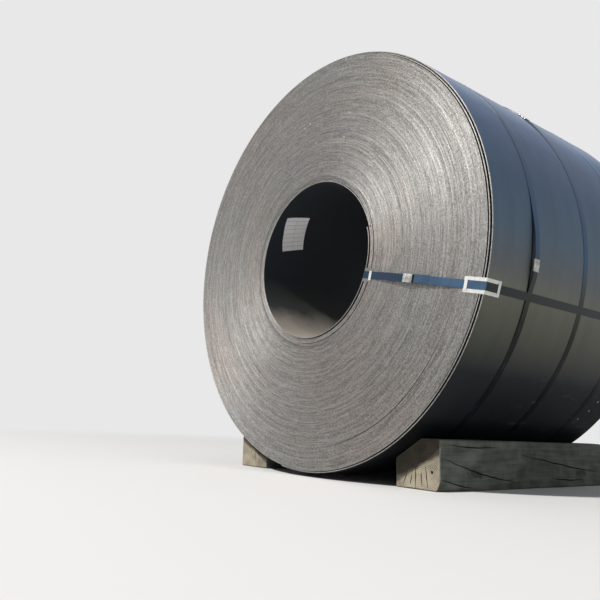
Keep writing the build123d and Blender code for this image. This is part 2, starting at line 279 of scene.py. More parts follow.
class FinishColours(bpy.types.PropertyGroup):
    rolled_edge: tone("Rolled edge", "Bare edge of the strip", "91908f")
    strapping: tone("Strapping", "Heat-blued strapping", "445c76")
    zinc: tone("Zinc", "Zinc on the seals and plates", "dcddda")
    timber: tone("Timber", "Weathered sides of the timbers", "585c56")
    timber_end: tone("End grain", "Sawn ends of the timbers", "948b7a")
    floor: tone("Floor", "Studio floor and background", "e8e8e8")


class StageSettings(bpy.types.PropertyGroup):
    key_power: FloatProperty(
        name="Key light", description="Power of the large lamp", default=6900.0, unit="POWER"
    )
    key_size: length("Key size", "Width of the large lamp", 1.3)
    fill: FloatProperty(name="Fill", description="Even light from all round", default=0.26)
    focal_length: FloatProperty(
        name="Focal length", description="The camera's focal length", default=38.16, unit="CAMERA"
    )
    shift: FloatProperty(
        name="Shift", description="Sideways shift, for the photograph's framing", default=0.0667
    )


def outwards_at(angle):
    """The way straight out from the coil's axis at an angle."""
    return np.array((math.cos(angle), 0, math.sin(angle)))


def round_coil(angle, radius, y):
    """Places on rings round the coil's axis."""
    x, z = radius * np.cos(angle), AXIS_Z + radius * np.sin(angle)
    return np.stack([x, np.broadcast_to(y, x.shape), z], axis=-1)


def specks_at(radii, degrees, y):
    """Places on the coil for small marks."""
    return round_coil(np.radians(degrees), np.array(radii), y).tolist()


def add(tree, kind, inputs=None, output=0, **settings):
    """Adds a node with its settings, sets or links its inputs, and gives one of its output sockets."""
    made = tree.nodes.new("ShaderNode" + kind)
    for name, value in settings.items():
        if name == "stops":
            ramp = made.color_ramp.elements
            while len(ramp) < len(value):
                ramp.new(1.0)
            for element, (place, colour) in zip(ramp, value):
                element.position = place
                element.color = (*colour, 1.0)
        else:
            setattr(made, name, value)
    for name, value in (inputs or {}).items():
        socket = made.inputs[name]
        if isinstance(value, bpy.types.NodeSocket):
            tree.links.new(value, socket)
        elif socket.type == "RGBA":
            socket.default_value = (*value, 1.0)
        else:
            socket.default_value = value
    return made.outputs[output] if made.outputs else None


def new_material(name):
    """An empty material and its node tree."""
    material = bpy.data.materials.new(name)
    material.use_nodes = True
    material.node_tree.nodes.clear()
    return material, material.node_tree


def finish_surface(tree, inputs):
    """Ends a material in one Principled shader and the material's output."""
    shader = add(tree, "BsdfPrincipled", inputs)
    add(tree, "OutputMaterial", {"Surface": shader})


def load_place(tree):
    """Sockets of the place on the load, and of its x, y and z."""
    place = add(tree, "TexCoord", output="Object")
    return place, add(tree, "SeparateXYZ", {0: place}).node.outputs


def straight_out(tree, place, axis=(0, 0, AXIS_Z)):
    """A socket of the way from an axis along y straight out to a place."""
    moved = add(tree, "VectorMath", {0: place, 1: axis}, operation="SUBTRACT")
    return add(tree, "VectorMath", {0: moved, 1: (1, 0, 1)}, operation="MULTIPLY")


def weighted(tree, parts):
    """The sum of sockets times their weights."""
    total = 0.0
    for socket, weight in parts:
        total = add(tree, "Math", {0: socket, 1: weight, 2: total}, operation="MULTIPLY_ADD")
    return total


def between(tree, limits):
    """A socket that is 1 where each value is past its second limit, and 0 where one is before its first."""
    share = 1.0
    for value, none, full in limits:
        part = add(tree, "MapRange", {"Value": value, "From Min": none, "From Max": full})
        share = add(tree, "Math", {0: part, 1: share}, operation="MULTIPLY")
    return share


def spots(tree, place, centres, radius):
    """A socket that is 1 within a radius of any of some places, and 0 elsewhere."""
    most = 0.0
    for centre in centres:
        away = add(tree, "VectorMath", {0: place, 1: centre}, "Value", operation="DISTANCE")
        near = add(tree, "MapRange", {"Value": away, "From Min": radius * 1.3, "From Max": radius * 0.7})
        most = add(tree, "Math", {0: near, 1: most}, operation="MAXIMUM")
    return most


def painted(tree, colour, layers):
    """A colour with others laid over it in turn, each where its socket says."""
    for cover, layer in layers:
        colour = add(tree, "Mix", {0: cover, 6: colour, 7: layer}, 2, data_type="RGBA")
    return colour


def clouds(tree, place, size, stretch=(1, 1, 1), detail=3.0):
    """Noise of a size in millimetres, drawn out along each axis whose stretch is below 1."""
    stretched = add(tree, "VectorMath", {0: place, 1: stretch}, operation="MULTIPLY")
    return add(tree, "TexNoise", {"Vector": stretched, "Scale": 1000 / size, "Detail": detail})


def ring_noise(tree, distance, toward, ring, arcs, detail=2.0):
    """Noise drawn out round the coil: its size across in millimetres, and how often it changes round."""
    across = add(tree, "Math", {0: distance, 1: ring / 1000}, operation="DIVIDE")
    along = add(tree, "VectorMath", {0: toward, "Scale": arcs}, operation="SCALE")
    lifted = add(tree, "CombineXYZ", {"Y": across})
    place = add(tree, "VectorMath", {0: along, 1: lifted}, operation="ADD")
    return add(tree, "TexNoise", {"Vector": place, "Scale": 1.0, "Detail": detail})


def height_tones_and_painted_light(tree, height, stops):
    """Colours by height above the floor, which paint light on a rolled surface: painted sky reflection above,
    painted shade down towards the floor.
    """
    top = 2 * COIL_RADIUS + 0.02
    share = add(tree, "MapRange", {"Value": height, "From Min": 0.0, "From Max": top})
    return add(tree, "ValToRGB", {0: share}, stops=[(place / top, linear(code)) for place, code in stops])


def strap_gap_shadow(tree, along, height):
    """A socket that is 1 in the painted shadow line along the first strap's front edge, below the eye strap.
    """
    return between(tree, [
        (along, FIRST_STRAP_EDGE - 0.006, FIRST_STRAP_EDGE - 0.004),
        (along, FIRST_STRAP_EDGE + 0.005, FIRST_STRAP_EDGE + 0.003),
        (height, 0.55, 0.60), (height, 1.06, 1.0),
    ])


def rolled_edge_steel(colours):
    """Hot rolled strip, edge on: bare grey steel in rings, drawn round so that it shines in two fans."""
    material, tree = new_material("rolled_edge_steel")
    place = add(tree, "TexCoord", output="Object")
    out = straight_out(tree, place)
    distance = add(tree, "VectorMath", {0: out}, "Value", operation="LENGTH")
    toward = add(tree, "VectorMath", {0: out}, operation="NORMALIZE")
    # Turns are 5 mm, and too fine to show all round, so some of their rings are drawn 6 and 10 mm wide
    mixed = weighted(tree, [
        (ring_noise(tree, distance, toward, 10, 2.0), 0.25),
        (ring_noise(tree, distance, toward, 6, 12.0), 0.27),
        (ring_noise(tree, distance, toward, 5, 110.0), 0.48),
    ])
    base = Vector(colours.rolled_edge)
    shade = add(tree, "ValToRGB", {0: mixed}, stops=[(0.4, base * 0.6), (0.6, base * 1.32)])
    # Patches of turns are a little warmer, where a bloom of rust has begun
    broad = ring_noise(tree, distance, toward, 300, 1.3)
    tint = add(tree, "ValToRGB", {0: broad}, stops=[(0.35, linear("fdf6f2")), (0.6, linear("fafaf8"))])
    colour = add(tree, "Mix", {0: 1.0, 6: shade, 7: tint}, 2, data_type="RGBA", blend_type="MULTIPLY")
    chalk = spots(tree, place, specks_at(*zip(*CHALK_SPECKS), FRONT_Y), 0.0045)
    finish_surface(tree, {
        "Base Color": painted(tree, colour, [(chalk, linear("c8c8c4"))]),
        "Metallic": 0.8,
        "Roughness": 0.55,
        "Anisotropic": 0.6,
        "Anisotropic Rotation": 0.03,
        "Tangent": toward,
        "Normal": add(tree, "Bump", {"Height": mixed, "Strength": 0.3, "Distance": 0.002}),
    })
    return material


def mill_scale():
    """Hot rolled strip, face on: smooth blue-grey oxide, semi-gloss, with specks of dust, a painted sky
    reflection above and painted shade darkening it towards the floor.
    """
    material, tree = new_material("hot_rolled_mill_scale")
    place, (_, along, height) = load_place(tree)
    # Scale varies in patches of 45 mm, and in bands of 71 mm along the rolling direction, round the coil
    toward = add(tree, "VectorMath", {0: straight_out(tree, place)}, operation="NORMALIZE")
    bands = ring_noise(tree, along, toward, 71.43, 1.5, 3.0)
    mottle = clouds(tree, place, 45.45)
    mixed = weighted(tree, [(bands, 0.6), (mottle, 0.4)])
    shade = add(tree, "ValToRGB", {0: mixed}, stops=[(0.35, (0.8, 0.8, 0.8)), (0.65, (1.0, 1.0, 1.0))])
    # The tones by height are partly painted light: sky reflection above, shade towards the floor
    base = height_tones_and_painted_light(tree, height, SHELL_TONES_AND_PAINTED_LIGHT)
    colour = add(tree, "Mix", {0: 1.0, 6: base, 7: shade}, 2, data_type="RGBA", blend_type="MULTIPLY")
    # Far down and towards the rear, the scale is scuffed along the axis
    scuffs = between(tree, [
        (clouds(tree, place, 22.22, (1, 0.15, 1), 4.0), 0.62, 0.68),
        (along, FRONT_Y + 0.45, FRONT_Y + 0.6), (height, 0.52, 0.44), (height, 0.22, 0.28),
    ])
    from_front, degrees = np.transpose(SHELL_SPECKS)
    specks = spots(tree, place, specks_at(COIL_RADIUS, degrees, FRONT_Y + from_front), 0.005)
    # A painted shadow line runs in front of the first strap's front edge
    layers = [(scuffs, "3c464e"), (strap_gap_shadow(tree, along, height), GAP_SHADOW_COLOUR), (specks, "c4c0b8")]
    finish_surface(tree, {
        "Base Color": painted(tree, colour, [(cover, linear(code)) for cover, code in layers]),
        "Metallic": 0.65,
        "Roughness": add(tree, "MapRange", {"Value": mottle, "To Min": 0.4, "To Max": 0.52}),
    })
    return material


def bore_scale():
    """Inside of the innermost turn: grey-brown dust lying on it below and dark oxide above, with a steep
    change between them that also paints the bore's light and shade.
    """
    material, tree = new_material("bore_dust_and_painted_shade")
    place = add(tree, "TexCoord", output="Object")
    toward = add(tree, "VectorMath", {0: straight_out(tree, place)}, operation="NORMALIZE")
    up = add(tree, "SeparateXYZ", {0: toward}, "Z")
    # The dust's edge, which is also the edge of the painted shade, wanders in bights of 200 mm
    uneven = weighted(tree, [(up, 1.0), (clouds(tree, place, 200), 0.35)])
    share = add(tree, "MapRange", {"Value": uneven, "From Min": -0.9, "From Max": 1.1})
    stops = [(0.06, "aba397"), (0.2, "827d76"), (0.3, "363937"), (0.5, "141d25")]
    colour = add(tree, "ValToRGB", {0: share}, stops=[(part, linear(code)) for part, code in stops])
    finish_surface(tree, {"Base Color": colour, "Metallic": 0.15, "Roughness": 0.7})
    return material


def painted_gap_shade():
    """Faces of the strip inside the gaps between turns: near black, which paints the shade deep in the gaps.
    """
    material, tree = new_material("gap_scale_painted_shade")
    finish_surface(tree, {"Base Color": linear("0a0d10"), "Metallic": 0.15, "Roughness": 0.7})
    return material


def dull_strapping(colours):
    """Strapping that has dulled on the shell: it takes the tone of the scale, with a painted sky reflection
    making it bluer above and painted shade darkening it below.
    """
    material, tree = new_material("dulled_steel_strapping")
    place, (_, along, height) = load_place(tree)
    # Straps further from the front end are hardly told from the shell
    further = between(tree, [(along, FRONT_Y + 0.7, FRONT_Y + 0.9)])
    # The dull coat has worn thin in patches of 33 mm
    patches = clouds(tree, place, 33.33)
    thin = add(tree, "MapRange", {"Value": patches, "From Min": 0.55, "From Max": 0.75, "To Max": 0.2})
    # The first strap's front edge has a painted highlight high up on the shell
    painted_edge_highlight = between(tree, [
        (along, FIRST_STRAP_EDGE + 0.004, FIRST_STRAP_EDGE + 0.002),
        (height, 1.50, 1.56), (height, 1.86, 1.80),
    ])
    colour = painted(tree, height_tones_and_painted_light(tree, height, STRAP_TONES_AND_PAINTED_LIGHT), [
        (further, height_tones_and_painted_light(tree, height, SHELL_TONES_AND_PAINTED_LIGHT)),
        (thin, Vector(colours.strapping) * 0.8),
        # painted shadow line along the first strap's front edge
        (strap_gap_shadow(tree, along, height), linear(GAP_SHADOW_COLOUR)),
        # painted highlight on the first strap's front edge
        (painted_edge_highlight, linear("a9b4c2")),
    ])
    # Far down it is less metallic, where its tones are painted darkest as shade
    metal = add(tree, "MapRange", {"Value": height, "From Min": 0.55, "From Max": 0.75, "To Max": 0.6})
    finish_surface(tree, {
        "Base Color": colour, "Metallic": metal, "Roughness": 0.38, "Specular IOR Level": 0.1,
    })
    return material


def blued_strapping(colours):
    """Cold rolled strapping, heat blued and waxed: blue with a soft shine, painted dark grey as shade off the
    face.
    """
    material, tree = new_material("blued_steel_strapping")
    place, (_, along, _) = load_place(tree)
    distance = add(tree, "VectorMath", {0: straight_out(tree, place)}, "Value", operation="LENGTH")
    base = Vector(colours.strapping)
    # The blue changes in patches of 70 mm
    patches = clouds(tree, place, 71.43)
    blue = add(tree, "ValToRGB", {0: patches}, stops=[(0.3, base * 0.8), (0.7, base * 1.15)])
    colour = painted(tree, blue, [
        # It is darker from the seal inwards, has a painted shadow line against the seal's outer end, and is
        # painted darker as shade off the face
        (between(tree, [(distance, EYE_SEAL_RADIUS + 0.01, EYE_SEAL_RADIUS - 0.01)]), base * 0.5),
        (between(tree, [
            (distance, EYE_SEAL_RADIUS + 0.033, EYE_SEAL_RADIUS + 0.031),
            (distance, EYE_SEAL_RADIUS, EYE_SEAL_RADIUS + 0.001),
        ]), linear("101418")),
        (between(tree, [(along, FRONT_Y + 0.001, FRONT_Y + 0.004)]), linear("303436")),
    ])
    finish_surface(tree, {"Base Color": colour, "Metallic": 0.8, "Roughness": 0.32})
    return material


def zinc_sheet(colours):
    """Galvanised sheet: pale grey metal with a faint spangle."""
    material, tree = new_material("galvanised_sheet")
    place, (_, along, _) = load_place(tree)
    distance = add(tree, "VectorMath", {0: straight_out(tree, place)}, "Value", operation="LENGTH")
    base = Vector(colours.zinc)
    # Spangles of about 8 mm
    cells = add(tree, "TexVoronoi", {"Vector": place, "Scale": 1000 / 8.33}, "Color")
    # By the eye the sheet is darker where it lies flat, and its raised tab stays bright
    darker_flat = between(tree, [
        (distance, BORE_RADIUS + 0.08, BORE_RADIUS + 0.07), (along, FRONT_Y - 0.0016, FRONT_Y - 0.0012),
    ])
    colour = painted(tree, base * 0.85, [(cells, base * 1.1), (darker_flat, base * 0.3)])
    finish_surface(tree, {"Base Color": colour, "Metallic": 0.85, "Roughness": 0.38})
    return material


def zinc_plating(colours):
    """Zinc-plated steel: a bright, even pale grey, duller in patches of 17 mm."""
    material, tree = new_material("zinc_plated_steel")
    place = add(tree, "TexCoord", output="Object")
    base = Vector(colours.zinc)
    patches = clouds(tree, place, 16.67)
    colour = add(tree, "ValToRGB", {0: patches}, stops=[(0.35, base * 0.4), (0.65, base * 0.75)])
    finish_surface(tree, {"Base Color": colour, "Metallic": 0.85, "Roughness": 0.34})
    return material


def label_paper():
    """Printed paper: matt white, with plain grey ruled lines."""
    material, tree = new_material("matt_label_paper")
    ruled = {
        "Vector": add(tree, "TexCoord", output="UV"),
        "Color1": linear("e9e8ec"), "Color2": linear("e2e1e6"), "Mortar": linear("b4b4b8"),
        "Scale": 1.0, "Mortar Size": 0.006, "Brick Width": 0.5, "Row Height": 0.125,
    }
    colour = add(tree, "TexBrick", ruled, offset=0.0, squash=1.0)
    finish_surface(tree, {"Base Color": colour, "Roughness": 0.85})
    return material


def weathered_timber(colours):
    """Sawn softwood left out in the weather: dark grey-brown sides, with the grain raised."""
    material, tree = new_material("weathered_sawn_softwood")
    place = add(tree, "TexCoord", output="Object")
    # Raised grain 11 mm wide, stains of 70 mm, and marks of the saw across the grain, 15 mm apart
    grain = clouds(tree, place, 11.11, (1, 0.06, 1), 4.0)
    stain = clouds(tree, place, 71.43, (1, 0.7, 1), 5.0)
    sawn = clouds(tree, place, 15.38, (1, 1, 0.25))
    mixed = weighted(tree, [(grain, 0.35), (stain, 0.5), (sawn, 0.15)])
    base = Vector(colours.timber)
    colour = add(tree, "ValToRGB", {0: mixed}, stops=[(0.4, base * 0.5), (0.6, base * 1.4)])
    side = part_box("timber_right")[1].x
    knots = spots(tree, place, [(side, FRONT_Y + y, z) for y, z in KNOTS], 0.013)
    finish_surface(tree, {
        "Base Color": painted(tree, colour, [(knots, base * 0.28)]),
        "Roughness": 0.85,
        "Normal": add(tree, "Bump", {"Height": grain, "Strength": 0.6, "Distance": 0.002}),
    })
    return material


def sawn_end_grain(colours):
    """Sawn end grain: pale, with growth rings round the pith, and a painted shadow of the coil darkening it
    above.
    """
    material, tree = new_material("sawn_end_grain")
    place, (_, _, height) = load_place(tree)
    mirrored = add(tree, "VectorMath", {0: place}, operation="ABSOLUTE")
    from_pith = straight_out(tree, mirrored, PITH)
    away = add(tree, "VectorMath", {0: from_pith}, "Value", operation="LENGTH")
    # Growth rings are 3 to 4 mm and too fine to show, so they are drawn 7.4 mm wide, in waves of 83 mm
    waved = weighted(tree, [(away, math.tau * 1000 / 7.39), (clouds(tree, place, 83.33), 6.0)])
    rings = add(tree, "Math", {0: waved}, operation="SINE")
    stain = clouds(tree, place, 62.5)
    mixed = weighted(tree, [(rings, 0.12), (stain, 1.0)])
    base = Vector(colours.timber_end)
    unshaded = add(tree, "ValToRGB", {0: mixed}, stops=[(0.25, base * 0.5), (0.7, base * 1.25)])
    # The upper and inner part, where the coil's shadow falls, is painted darker as that shadow
    outwards = add(tree, "SeparateXYZ", {0: mirrored}, "X")
    uneven = weighted(tree, [(height, 1.0), (outwards, -0.42), (stain, 0.05)])
    painted_coil_shadow = between(tree, [(uneven, -0.132, -0.112)])
    shade = {0: painted_coil_shadow, 6: unshaded, 7: (0.15, 0.14, 0.13)}
    finish_surface(tree, {
        "Base Color": add(tree, "Mix", shade, 2, data_type="RGBA", blend_type="MULTIPLY"),
        "Roughness": 0.9,
        "Normal": add(tree, "Bump", {"Height": mixed, "Strength": 0.4, "Distance": 0.001}),
    })
    return material


def mesh_piece(name, points, faces, materials, slot, sharp=None, which=None):
    """A piece at the origin with its place in its mesh, riding on the load."""
    mesh = bpy.data.meshes.new(name)
    mesh.from_pydata(np.asarray(points).tolist(), [], [list(face) for face in faces])
    for material in materials:
        mesh.materials.append(material)
    if which is not None:
        mesh.polygons.foreach_set("material_index", np.asarray(which, dtype=np.int32))
    if sharp is not None:
        mesh.shade_smooth()
        mesh.set_sharp_from_angle(angle=sharp)
    mesh.update()
    piece = bpy.data.objects.new(name, mesh)
    bpy.context.scene.collection.objects.link(piece)
    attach(piece, "root")
    return piece


def coil_winding(sizes):
    """How many turns the strip makes, and their pitch, for a strip of about this thickness."""
    part = ((HEAD_ANGLE - TAIL_ANGLE) / math.tau) % 1
    layers = (COIL_RADIUS - BORE_RADIUS) / sizes.strip_thickness
    turns = round(layers - 1 - part) + part
    return turns, (COIL_RADIUS - BORE_RADIUS) / (turns + 1)


def sprung(turn, turns, angle):
    """How far the sprung turns move the strip, outwards above zero, at a turn counted from the tail."""
    moved = np.zeros_like(turn)
    for place, widest, toward, spread in SPRUNG_TURNS:
        edge = math.cos(spread)
        opening = widest * np.clip((np.cos(angle - toward) - edge) / (1 - edge), 0, 1)
        if place > 0:
            moved -= opening * np.where(turn >= place, (turns - turn) / (turns - place), 0)
        else:
            start = turns + place
            closing = np.clip((start + HEAD_RUN - turn) / HEAD_RUN, 0, 1)
            moved += opening * closing * np.minimum(turn / start, 1)
    return moved


def two_halves(past):
    """Radius of the coil's outline, two half turns with a step at the tail, at an angle past the tail."""
    shifted = np.sqrt((COIL_RADIUS - TAIL_SHIFT) ** 2 - (TAIL_SHIFT * np.sin(past)) ** 2)
    return np.where(past <= math.pi, COIL_RADIUS, shifted - TAIL_SHIFT * np.cos(past))


def strip_radii(turn, sizes):
    """Radius of the strip's inside and outside at a turn counted from the tail, and the angle there."""
    turns, pitch = coil_winding(sizes)
    angle = TAIL_ANGLE + math.tau * turn
    from_head = turns - turn
    whole = np.floor(from_head)
    # Near the eye each turn steps over the one inside it just before the head, and further out evenly
    share = np.minimum(1, STEP_RUN + STEP_GROWTH * from_head)
    rise = np.clip((from_head - whole - 1 + share) / share, 0, 1)
    inside = BORE_RADIUS + pitch * (whole + rise)
    # The outermost turns follow the outline
    past = np.mod(turn, 1) * math.tau
    excess = two_halves(past) - (COIL_RADIUS - pitch * past / math.tau)
    inside = inside + excess * np.clip(1 - turn / ROUND_TURNS, 0, 1) + sprung(turn, turns, angle)
    inside -= HEAD_BEND * np.clip(1 - from_head / HEAD_BEND_RUN, 0, 1) ** 2
    return inside + sizes.turn_gap, inside + pitch, angle


def wander(turn, per_turn, turns, rng):
    """Smooth chance variation along the strip."""
    knots = rng.normal(size=int(turns * per_turn) + 3)
    return np.interp(turn * per_turn, np.arange(len(knots)), knots)


def end_insets(turn, sizes, seed):
    """How far in from the end the strip's edge lies at each turn, and how far it leans."""
    rng = np.random.default_rng(seed)
    turns, _ = coil_winding(sizes)
    from_side = np.minimum(turn, turns - turn)
    free = np.clip((from_side - LEVEL_TURNS) / (FREE_TURNS - LEVEL_TURNS), 0, 1)
    groups = np.clip(wander(turn, 0.45, turns, rng), -1.5, 1.5)
    single = np.clip(wander(turn, 5.0, turns, rng), -2, 2)
    inset = LEVEL_INSET + free * (FREE_INSET + GROUPS_VARY * groups + TURNS_VARY * single)
    lean = LEAN_VARIES * np.clip(wander(turn, 4.0, turns, rng), -2, 2)
    return np.maximum(inset, LEAST_INSET), lean


def gap_depth(gap, sizes):
    """A groove's depth grows as the gap opens."""
    return sizes.groove_depth + np.clip(DEEPER_BY * (gap - 2 * sizes.turn_gap), 0, DEEPEST)


def wound_end(name, end_y, inward, seed, sizes, material):
    """One end of the stack of tight turns, each with its face, rounded edges and grooves."""
    turns, _ = coil_winding(sizes)
    samples = sizes.end_samples
    count = int((turns - LOOSE_OUTER - LOOSE_INNER) * samples)
    turn = LOOSE_OUTER + np.arange(count + 1) / samples
    inside, outside, angle = strip_radii(turn, sizes)
    _, next_outside, _ = strip_radii(turn + 1, sizes)
    before_inside, _, _ = strip_radii(turn - 1, sizes)
    inset, lean = end_insets(turn, sizes, seed)
    edge = sizes.edge_round
    rows = [
        (outside, inset + gap_depth(before_inside - outside, sizes)),
        (outside - edge, inset + np.maximum(lean, 0)),
        (inside + edge, inset + np.maximum(-lean, 0)),
        (inside, inset + gap_depth(inside - next_outside, sizes)),
    ]
    points = np.stack([round_coil(angle, radius, end_y + inward * depth) for radius, depth in rows], axis=1)
    index = np.arange((count + 1) * 4).reshape(-1, 4)
    quads = [
        np.stack([index[:-1, k], index[1:, k], index[1:, k + 1], index[:-1, k + 1]], axis=1) for k in range(3)
    ]
    near, far = index[:-samples], index[samples:]
    quads.append(np.stack([near[:-1, 3], near[1:, 3], far[1:, 0], far[:-1, 0]], axis=1))
    faces = np.concatenate(quads)
    if inward < 0:
        faces = faces[:, ::-1]
    return mesh_piece(name, points.reshape(-1, 3), faces, [material], "mill_scale_steel")


def loose_turns(name, first, last, sizes, materials):
    """Turns that stand free of the stack: the whole strip, with rounded edges."""
    count = int(round((last - first) * sizes.shell_samples))
    turn = np.linspace(first, last, count + 1)
    inside, outside, angle = strip_radii(turn, sizes)
    edge = sizes.edge_round
    front = FRONT_Y + end_insets(turn, sizes, 3)[0]
    rear = REAR_Y - end_insets(turn, sizes, 5)[0]
    loop = [
        (outside - edge, front), (outside, front + edge), (outside, rear - edge), (outside - edge, rear),
        (inside + edge, rear), (inside, rear - edge), (inside, front + edge), (inside + edge, front),
    ]
    points = np.stack([round_coil(angle, radius, y) for radius, y in loop], axis=1)
    index = np.arange((count + 1) * 8).reshape(-1, 8)
    ahead = np.roll(index, -1, axis=1)
    sides = np.stack([index[:-1], ahead[:-1], ahead[1:], index[1:]], axis=2).reshape(-1, 4)
    faces = sides[:, ::-1].tolist() + [index[0].tolist(), index[-1][::-1].tolist()]
    # The strip's two faces are the shell, the bore's wall or the near-black painted gap shade, and the rest
    # is its edges
    turns, _ = coil_winding(sizes)
    which = np.zeros((count, 8), dtype=np.int32)
    which[:, 1] = np.where(turn[:-1] < 1, 1, 3)
    which[:, 5] = np.where(turn[:-1] > turns - 1, 2, 3)
    which = np.concatenate([which.reshape(-1), [0, 0]])
    sharp = math.radians(25)
    return mesh_piece(name, points.reshape(-1, 3), faces, materials, "mill_scale_steel", sharp, which)


def stack_walls(name, sizes, material):
    """Outside and inside walls of the tight stack, deep in the openings beside the loose turns."""
    turns, _ = coil_winding(sizes)
    points, faces = [], []
    for first, on_outside in ((LOOSE_OUTER, True), (turns - LOOSE_INNER - 1, False)):
        turn = np.linspace(first, first + 1, sizes.end_samples + 1)
        inside, outside, angle = strip_radii(turn, sizes)
        if on_outside:
            before_inside, _, _ = strip_radii(turn - 1, sizes)
            radius, depth = outside, gap_depth(before_inside - outside, sizes)
        else:
            _, next_outside, _ = strip_radii(turn + 1, sizes)
            radius, depth = inside, gap_depth(inside - next_outside, sizes)
        start, size = len(points), len(turn)
        for y in (FRONT_Y + depth, REAR_Y - depth):
            points += round_coil(angle, radius, y).tolist()
        for k in range(start, start + size - 1):
            face = [k, k + 1, size + k + 1, size + k]
            faces.append(face[::-1] if on_outside else face)
    return mesh_piece(name, points, faces, [material], "mill_scale_steel", math.radians(40))


class COIL_OT_turns(bpy.types.Operator):
    """Wind the strip: the tight stack's ends and walls, and the loose turns outside and in the eye"""

    bl_idname = "coil.turns"
    bl_label = "Coil turns"

    def execute(self, context):
        sizes, colours = context.scene.coil_sizes, context.scene.coil_colours
        turns, _ = coil_winding(sizes)
        # Faces in the gaps and the stack's walls are near black, painted as the shade deep in the gaps
        edge, gap_shade = rolled_edge_steel(colours), painted_gap_shade()
        strip = [edge, mill_scale(), bore_scale(), gap_shade]
        pieces = [
            wound_end("coil_front_turns", FRONT_Y, 1, 11, sizes, edge),
            wound_end("coil_rear_turns", REAR_Y, -1, 12, sizes, edge),
            loose_turns("coil_outer_turns", 0, LOOSE_OUTER, sizes, strip),
            loose_turns("coil_inner_turns", turns - LOOSE_INNER, turns, sizes, strip),
            stack_walls("coil_stack_walls", sizes, gap_shade),
        ]
        for piece in pieces:
            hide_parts("coil")
        return {"FINISHED"}


def outline_radius(angle):
    """Radius of the coil's outline, with the straight run of a strap over the step at the tail."""
    past = np.mod(angle - TAIL_ANGLE, math.tau)
    bridge = math.acos((COIL_RADIUS - TAIL_SHIFT) / (COIL_RADIUS + TAIL_SHIFT))
    reach = COIL_RADIUS - TAIL_SHIFT - TAIL_SHIFT * math.cos(bridge)
    ahead = past - math.tau + bridge
    return np.where(ahead > 0, reach / np.cos(np.clip(ahead, 0, 1)), two_halves(past))


def slack(strap, angle):
    """How far a strap stands off the coil either side of its seal."""
    _, seal_angle, height, below, above = GIRTH_STRAPS[strap]
    away = np.mod(angle - seal_angle + math.pi, math.tau) - math.pi
    part = np.clip(np.where(away > 0, away / above, -away / below), 0, 1)
    return height * np.where(part < 0.5, 1 - 2 * part**2, 2 * (1 - part) ** 2)


def rounded(corners, radii, steps=6):
    """Points along a flat line of corners that are each rounded, but for the first and last."""
    points = [Vector(corners[0])]
    for before, corner, after, radius in zip(corners, corners[1:], corners[2:], radii):
        corner = Vector(corner)
        back, on = (Vector(before) - corner).normalized(), (Vector(after) - corner).normalized()
        half = back.angle(on) / 2
        middle = corner + (back + on).normalized() * radius / math.sin(half)
        start = corner + back * radius / math.tan(half) - middle
        end = corner + on * radius / math.tan(half) - middle
        turn = math.atan2(start.x * end.y - start.y * end.x, start.dot(end))
        for step in range(steps + 1):
            points.append(middle + Matrix.Rotation(turn * step / steps, 2) @ start)
    points.append(Vector(corners[-1]))
    return np.array([tuple(point) for point in points])


def dense(line, step):
    """A flat line of points with more points on its long runs."""
    points = []
    for start, end in zip(line, line[1:]):
        count = max(1, int(np.linalg.norm(end - start) / step))
        points += [start + (end - start) * k / count for k in range(count)]
    return np.array(points + [line[-1]])


def outward_normals(points, loop=False):
    """Unit normals to the right of a flat line of points."""
    if loop:
        ahead, behind = np.roll(points, -1, axis=0), np.roll(points, 1, axis=0)
    else:
        ahead = np.concatenate([points[1:], points[-1:]])
        behind = np.concatenate([points[:1], points[:-1]])
    run = ahead - behind
    run /= np.linalg.norm(run, axis=1, keepdims=True)
    return np.stack([run[:, 1], -run[:, 0]], axis=1)


def loft(rings, loop=False):
    """Points and faces of a skin over rings of points, closed at both ends or into a loop."""
    count, size = rings.shape[:2]
    index = np.arange(count * size).reshape(count, size)
    near, far = (index, np.roll(index, -1, axis=0)) if loop else (index[:-1], index[1:])
    faces = np.stack([near, far, np.roll(far, -1, axis=1), np.roll(near, -1, axis=1)], axis=-1)
    faces = faces.reshape(-1, 4).tolist()
    if not loop:
        faces += [index[0].tolist(), index[-1][::-1].tolist()]
    return rings.reshape(-1, 3), faces


def joined(parts):
    """Points and faces of several skins as one."""
    points, faces, start = [], [], 0
    for some_points, some_faces in parts:
        points.append(some_points)
        faces += [[start + corner for corner in face] for face in some_faces]
        start += len(some_points)
    return np.concatenate(points), faces


def turn_outwards(mesh, triangles=False):
    """Turns a closed mesh's normals outwards, and cuts it into triangles if asked."""
    body = bmesh.new()
    body.from_mesh(mesh)
    bmesh.ops.recalc_face_normals(body, faces=body.faces)
    if triangles:
        bmesh.ops.triangulate(body, faces=body.faces)
    body.to_mesh(mesh)
    body.free()


def band_section(width, thickness, stations):
    """Section of a rolled band with its edges eased: places across it and heights above its underside."""
    edge = thickness / 4
    inner = np.linspace(-width / 2 + edge, width / 2 - edge, stations)
    across = np.concatenate([[-width / 2], inner, [width / 2, width / 2], inner[::-1], [-width / 2]])
    flat = np.zeros(stations)
    heights = np.concatenate([[edge], flat, [edge, 3 * edge], flat + 4 * edge, [3 * edge]])
    return across, heights


def band(line, width, thickness, place, loop=False, stations=5):
    """Skin of a band that lies on a flat line of points and is put in place by a function."""
    across, heights = band_section(width, thickness, stations)
    normals = outward_normals(line, loop)
    flat = line[:, None, :] + normals[:, None, :] * heights[None, :, None]
    return loft(place(flat[..., 0], flat[..., 1], np.broadcast_to(across, flat.shape[:2])), loop)


